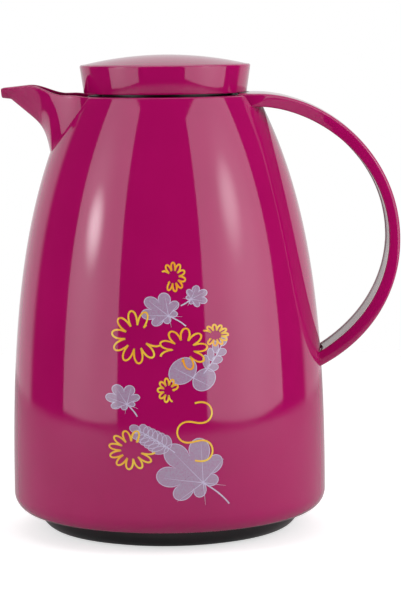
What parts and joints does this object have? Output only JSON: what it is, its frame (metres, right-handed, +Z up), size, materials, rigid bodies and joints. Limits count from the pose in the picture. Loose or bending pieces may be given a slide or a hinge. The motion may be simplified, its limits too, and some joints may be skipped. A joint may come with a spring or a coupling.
{
  "type": "insulated jug",
  "caption": "Insulated jug with an open pouring spout, a loop handle, a screw stopper under a round lid, a double-wall glass liner and a screw-on base.",
  "frame": {"origin": "on the jug's axis, at the level of the surface the foot ring stands on", "axes": "+Z up along the jug's axis, +X towards the handle, the spout points to -X"},
  "size_m": [0.1827, 0.145, 0.219],
  "materials": {
    "shell_plastic": "high gloss magenta polypropylene with a printed leaf and flower pattern",
    "inlay_plastic": "satin warm grey",
    "black_plastic": "black, semi-gloss",
    "stopper_plastic": "black, satin, food-safe",
    "pale_plastic": "natural, satin",
    "black_rubber": "matt",
    "silicone": "matt, translucent white",
    "glass_wall": "clear glass, silvered on the vacuum side",
    "foam": "rigid insulating foam",
    "steel": "zinc-plated"
  },
  "bodies": {
    "jug": {"outer_shell": "shell_plastic", "handle": "shell_plastic", "handle_inlay": "inlay_plastic", "handle_screws": "steel", "base_cup": "black_plastic", "foot_ring": "black_rubber", "liner_cushion": "black_rubber", "tip_guard": "black_rubber", "liner_outer": "glass_wall", "liner_inner": "glass_wall", "liner_spacers": "pale_plastic", "neck_gasket": "silicone", "neck_collar": "stopper_plastic"},
    "seal": {"seal_disc": "pale_plastic", "seal_gasket": "silicone"},
    "stopper": {"disc_pin": "steel", "stopper_body": "stopper_plastic", "stopper_foam": "foam", "stopper_floor": "stopper_plastic", "stopper_ring": "silicone", "cap_shell": "shell_plastic", "cap_dome": "shell_plastic", "cap_screws": "steel"}
  },
  "joints": [
    {"name": "stopper_lift", "type": "slide", "parent": "jug", "child": "seal", "axis": [0, 0, 1], "range_m": [0, 0.04]},
    {"name": "stopper_turn", "type": "hinge", "parent": "seal", "child": "stopper", "pos_m": [0, 0, 0.175], "axis": [0, 0, 1], "range_deg": [0, 1800]}
  ],
  "couplings": [
    {"joint": "stopper_lift", "follows": "stopper_turn", "m_per_rad": 0.0012732}
  ]
}
